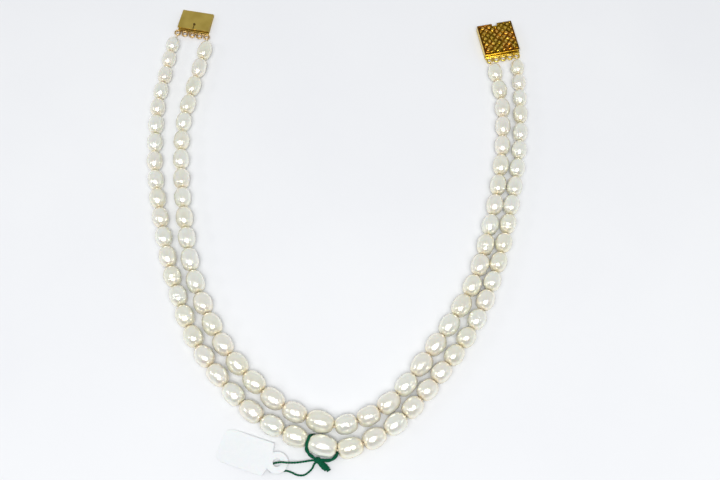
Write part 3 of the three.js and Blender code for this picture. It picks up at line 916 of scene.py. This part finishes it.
def add_box_half():
    rings = placed(BOX_PLACE, ring_row(BOX_PITCH, BOX_WIDTH, BOX_BAR_TOP))
    piece = add_piece("clasp_box_rings", *rings, WALL_GOLD, "box_half", "clasp_gold")
    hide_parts("box_ring_row")

    reach, wall, top = BOX_WIDTH / 2, BOX_WALL, BOX_HEIGHT - COVER_THICKNESS
    tray = together(
        rounded_block((-reach, BOX_START, 0), (reach, BOX_END, wall), 0.12),
        rounded_block((-reach, BOX_START, 0), (-reach + wall, BOX_END, top), 0.12),
        rounded_block((reach - wall, BOX_START, 0), (reach, BOX_END, top), 0.12),
        rounded_block((-reach, BOX_START, 0), (reach, BOX_START + wall, top), 0.12),
    )
    piece = add_piece(
        "clasp_box_tray", *placed(BOX_PLACE, tray), WALL_GOLD, "box_half", "clasp_gold"
    )
    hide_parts("box_tray")
    smooth_by_angle(piece)

    vertices, faces, relief = box_cover()
    cover = placed(BOX_PLACE, (vertices, faces))
    # The cover is coloured with painted glints on its relief's high places and painted shade in its
    # hollows
    piece = add_piece("clasp_box_cover", *cover, ENGRAVED_GOLD_PAINTED_LIGHT, "box_half", "clasp_gold")
    heights = piece.data.attributes.new("relief", "FLOAT", "POINT")
    heights.data.foreach_set("value", relief)
    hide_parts("box_cover")
    smooth_by_angle(piece)


def smooth_by_angle(piece, degrees=38):
    """Sharp edges stay sharp where two faces meet at more than this angle."""
    mesh = bmesh.new()
    mesh.from_mesh(piece.data)
    for edge in mesh.edges:
        if len(edge.link_faces) == 2:
            edge.smooth = edge.calc_face_angle(0.0) < math.radians(degrees)
    mesh.to_mesh(piece.data)
    mesh.free()


# ---------------------------------------------------------------- silk loops at the clasp
def end_loop(place, pitch, ring, pearl):
    """Silk round an end ring's wire and its stem to the strand's last pearl."""
    (x, y), degrees = place
    turn = math.radians(degrees)
    across = (ring - (RINGS - 1) / 2) * pitch
    middle = Vector((x + across * math.cos(turn), y + across * math.sin(turn), RING_HEIGHT))
    tip = pearl.end(1, -0.6)
    away = (tip - middle) * Vector((1, 1, 0))
    away.normalize()
    centre = middle + away * (RING_RADIUS + 0.25)
    loop = []
    for i in range(33):
        angle = 2 * math.pi * i / 32
        loop.append(centre + away * math.cos(angle) + Vector((0, 0, math.sin(angle))))
    stem = smooth_path([centre + away * 0.95, centre.lerp(tip, 0.6), tip], 6)
    return together(twisted_tube(loop, 0.2, 2, 0.8, 10), twisted_tube(stem, 0.3, 2, 1.1, 10))


def add_end_loops():
    for strand_name, strand in STRANDS.items():
        for side, place, pitch in (
            ("left", TONGUE_PLACE, TONGUE_PITCH),
            ("right", BOX_PLACE, BOX_PITCH),
        ):
            first = (strand_name == "outer") == (side == "left")
            pearl = lay_out_side(strand, side)[-1]
            shape = in_metres(end_loop(place, pitch, 0 if first else RINGS - 1, pearl))
            name = f"silk_end_{strand_name}_{side}"
            piece = add_piece(name, *shape, SILK, f"{side}_length_10", "silk")
            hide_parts(f"silk_loop_{strand_name}_{side}")


# ---------------------------------------------------------------- tag and its thread
THREAD_DIAMETER = 0.8
WRAP_DIAMETER = 1.4  # the thread is taken to lie double round the pearl
# Distances along and across the outer strand's middle pearl, and a height: from the knot over the strand
# at the left neck, back under the pearl, and under the strand at the right neck
WRAP_ROUTE = [
    (-2.9, -4.6, 1.7), (-4.5, -3.9, 2.4), (-5.7, -2.6, 3.5), (-5.85, -1.3, 5.2), (-5.75, 0.3, 6.05),
    (-5.65, 1.8, 5.15), (-5.5, 2.8, 3.5), (-4.7, 3.6, 1.5), (-2.8, 3.8, 0.8), (-0.3, 3.8, 0.8),
    (2.2, 3.7, 0.8), (4.4, 2.8, 0.85), (5.7, 0.9, 1.1), (6.1, -0.9, 1.9), (5.8, -2.4, 2.4),
    (4.9, -3.7, 2.2), (3.5, -4.4, 1.8), (1.9, -4.7, 1.5),
]
# From the knot through the tag's hole, round under the tag and back
TAG_LOOP_ROUTE = [
    (-9.0, -104.9, 1.6), (-11.2, -105.2, 1.55), (-13.8, -105.6, 1.6), (-16.2, -105.9, 2.0),
    (-18.6, -106.0, 2.6), (-20.9, -105.8, 2.65), (-22.6, -105.8, 1.65), (-24.1, -105.95, 0.82),
    (-25.4, -106.6, 0.5), (-25.85, -107.75, 0.45), (-25.1, -108.8, 0.45), (-23.7, -109.15, 0.45),
    (-22.0, -109.05, 0.45), (-20.3, -108.75, 0.45), (-18.7, -108.7, 0.45), (-16.9, -109.3, 0.45),
    (-14.6, -110.3, 0.45), (-12.2, -110.3, 0.45), (-10.3, -109.1, 0.5), (-9.0, -107.7, 0.6),
    (-8.4, -106.3, 0.9),
]
KNOT_AT = Vector((-7.0, -104.7, 1.3))
TAG_HOLE = Vector((-22.6, -105.8, 1.45))
TAG_TURN = 160.5  # the way the card runs from its hole, in degrees
TAG_TILT = 3.2
TAG_HOLE_RADIUS = 1.6
TAG_LOBE = 4.3
TAG_SHOULDER = 3.6
TAG_LENGTH = 23.6
TAG_HALF_WIDTH = 6.7
TAG_CORNER = 3.2
TAG_THICKNESS = 0.28
TAG_CURL = 0.004


def round_middle_pearl(route):
    """Distances along and across the outer strand's middle pearl, as points on the table."""
    pearl = lay_out_centre(STRANDS["outer"])
    side = Vector((-pearl.heading.y, pearl.heading.x, 0))
    foot = Vector((pearl.at.x, pearl.at.y, 0))
    return [foot + pearl.heading * a + side * b + Vector((0, 0, c)) for a, b, c in route]


def add_thread(name, route, diameter, pitch, depth, node):
    """A green cord along a route that stands for a node of the frame."""
    path = smooth_path(route, 10)
    shape = in_metres(twisted_tube(path, diameter / 2, 2, pitch, 20, depth))
    piece = add_piece(name, *shape, THREAD, "strand_centre", "green_thread")
    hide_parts(node)


def lumpy_ball(centre, radii, seed, rows=14, sides=20):
    """A knot's body: a ball with wound ridges and lumps."""
    vertices, faces = [], []
    for row in range(rows + 1):
        tilt = math.pi * row / rows
        for side in range(sides):
            turn = 2 * math.pi * side / sides
            direction = Vector(
                (math.sin(tilt) * math.cos(turn), math.sin(tilt) * math.sin(turn), math.cos(tilt))
            )
            wraps = 0.12 * math.sin(3 * turn + 5 * direction.z + seed)
            lump = 1 + wraps + 0.10 * noise.noise(direction * 2.2 + Vector((seed, 0, 0)))
            vertices.append(centre + Vector([c * r for c, r in zip(direction, radii)]) * lump)
    for row in range(rows):
        for side in range(sides):
            following = (side + 1) % sides
            a, b = row * sides, (row + 1) * sides
            faces.append((a + side, b + side, b + following, a + following))
    return vertices, faces


def tag_outline():
    """The card's edge from its hole outwards along +x: a lobe, shoulders and round far corners."""
    points = []
    for i in range(41):
        angle = math.radians(48 + 264 * i / 40)
        points.append((TAG_LOBE * math.cos(angle), TAG_LOBE * math.sin(angle)))
    points.append((TAG_SHOULDER, -TAG_HALF_WIDTH))
    across = TAG_HALF_WIDTH - TAG_CORNER
    for corner in (-1, 1):
        start = -90 if corner < 0 else 0
        for i in range(13):
            angle = math.radians(start + 90 * i / 12)
            x = TAG_LENGTH - TAG_CORNER + TAG_CORNER * math.cos(angle)
            points.append((x, corner * across + TAG_CORNER * math.sin(angle)))
    points.append((TAG_SHOULDER, TAG_HALF_WIDTH))
    return points


def add_card():
    """A thin card, cut out round its hole, that curls up a little at the far corners."""
    mesh = bmesh.new()
    edges = []
    turns = [math.pi * i / 20 for i in range(40)]
    hole = [(TAG_HOLE_RADIUS * math.cos(t), TAG_HOLE_RADIUS * math.sin(t)) for t in turns]
    for ring in (tag_outline(), hole):
        corners = [mesh.verts.new((x, y, 0)) for x, y in ring]
        edges.extend(mesh.edges.new(pair) for pair in zip(corners, corners[1:] + corners[:1]))
    bmesh.ops.triangle_fill(mesh, edges=edges, use_beauty=True)
    for _ in range(2):
        bmesh.ops.subdivide_edges(mesh, edges=list(mesh.edges), cuts=1, use_grid_fill=True)
    top = bmesh.ops.extrude_face_region(mesh, geom=list(mesh.faces))
    for element in top["geom"]:
        if isinstance(element, bmesh.types.BMVert):
            element.co.z += TAG_THICKNESS
    bmesh.ops.recalc_face_normals(mesh, faces=list(mesh.faces))
    place = (
        Matrix.Translation(TAG_HOLE)
        @ Matrix.Rotation(math.radians(TAG_TURN), 4, "Z")
        @ Matrix.Rotation(math.radians(TAG_TILT), 4, "Y")
    )
    for vertex in mesh.verts:
        x, y = vertex.co.x, vertex.co.y
        vertex.co.z += TAG_CURL * y * y * max(0.0, x) / TAG_LENGTH
        vertex.co = (place @ vertex.co) * MM
    data = bpy.data.meshes.new("tag_card")
    mesh.to_mesh(data)
    mesh.free()
    data.materials.append(CARD)
    piece = bpy.data.objects.new("tag_card_blank", data)
    bpy.context.scene.collection.objects.link(piece)
    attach(piece, "tag")
    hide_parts("tag_card")
    return piece


def add_tag():
    """The card, the knot with the ends of every thread that runs into it, and the two threads."""
    ball = lumpy_ball(KNOT_AT, (1.5, 1.15, 1.15), 2.0)
    wrap = round_middle_pearl(WRAP_ROUTE)
    ends = [
        twisted_tube([tip.lerp(KNOT_AT, i / 5) for i in range(6)], 0.62, 2, 6.5, 20, 0.38)
        for tip in (wrap[0], wrap[-1])
    ]
    ends += [
        twisted_tube([tip.lerp(KNOT_AT, i / 5) for i in range(6)], 0.42, 2, 2.2, 16, 0.25)
        for tip in (Vector(TAG_LOOP_ROUTE[0]), Vector(TAG_LOOP_ROUTE[-1]))
    ]
    for index, (dx, dz) in enumerate(((-0.45, 0.35), (0.45, 0.05))):
        route = [
            KNOT_AT + Vector((0.2 + dx * 0.3, -0.2, 0.1)),
            KNOT_AT + Vector((1.6 + dx, -1.5 + 0.25 * dx, dz - 0.1)),
            KNOT_AT + Vector((2.8 + dx * 1.1, -2.7 + 0.5 * dx, dz - 0.25)),
            KNOT_AT + Vector((3.9 + dx * 1.1, -3.6 - 0.5 * index, dz - 0.35)),
        ]
        ends.append(twisted_tube(smooth_path(route, 10), 0.82, 2, 2.4, 16, 0.25, -0.1))
    shape = in_metres(together(ball, *ends))
    knot = add_piece("tag_knot", *shape, THREAD, "strand_centre", "green_thread")
    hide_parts("tag_thread_knot")
    card = add_card()
    add_thread("thread_round_pearl", wrap, WRAP_DIAMETER, 6.5, 0.38, "tag_thread_wrap")
    add_thread("thread_to_tag", TAG_LOOP_ROUTE, THREAD_DIAMETER, 2.2, 0.25, "tag_thread_loop")


# ---------------------------------------------------------------- scene
bpy.context.scene.view_settings.view_transform = "Standard"
add_camera()
add_world()
add_floor()
add_softbox("key", 0, 67, 1.6, (1.44, 0.92), 18.0)
add_softbox("flash", 0, 66, 1.6, (0.35, 0.27), 5.4)
add_softbox("left_fill", -80, 35, 1.2, (0.12, 0.12), 0.9)
add_softbox("right_fill", 80, 35, 1.2, (0.12, 0.12), 0.3)
# Each nacre's third colour is a painted warm glow of bounce light at the drilled ends
NACRES = [
    nacre("nacre_cream", (0.88, 0.86, 0.73), (0.93, 0.92, 0.82), (0.94, 0.80, 0.55)),
    nacre("nacre_white", (0.89, 0.89, 0.80), (0.94, 0.94, 0.87), (0.92, 0.83, 0.62)),
    nacre("nacre_rose", (0.90, 0.87, 0.77), (0.94, 0.92, 0.84), (0.95, 0.79, 0.57)),
]
SILK = fibre("silk", (0.72, 0.60, 0.42), (0.86, 0.78, 0.62), 4000, 0.3)
THREAD = fibre("green_thread", (0.0, 0.035, 0.015), (0.002, 0.14, 0.065), 3500, 0.03)
SATIN = metal("satin_gold", (0.58, 0.42, 0.09), (0.74, 0.56, 0.14), (0.30, 0.42), 160, 0.35, 8)
# Browner gold for the tongue's rings: partly their own tone, partly painted shade from the leaf above
TONGUE_RING_GOLD_PART_SHADED = metal("tongue_ring_gold_part_shaded", (0.58, 0.38, 0.15), (0.74, 0.52, 0.24), (0.18, 0.28))
WALL_GOLD = metal("wall_gold", (0.78, 0.56, 0.10), (0.90, 0.70, 0.18), (0.22, 0.32), 400, 0.06)
# The engraved cover's gold carries painted glints and painted shade
ENGRAVED_GOLD_PAINTED_LIGHT = engraved_metal_painted_light("engraved_gold_painted_light")
# A very dark brown gold for the thumb catch and its pip
DARK_CATCH_GOLD = metal("dark_catch_gold", (0.07, 0.045, 0.012), (0.20, 0.14, 0.04), (0.35, 0.5))
CARD = card_stock()

for strand_name in ("outer", "inner"):
    add_strand(strand_name, NACRES)
for side in ("left", "right"):
    add_silk(side)
add_tongue_half()
add_box_half()
add_end_loops()
add_tag()
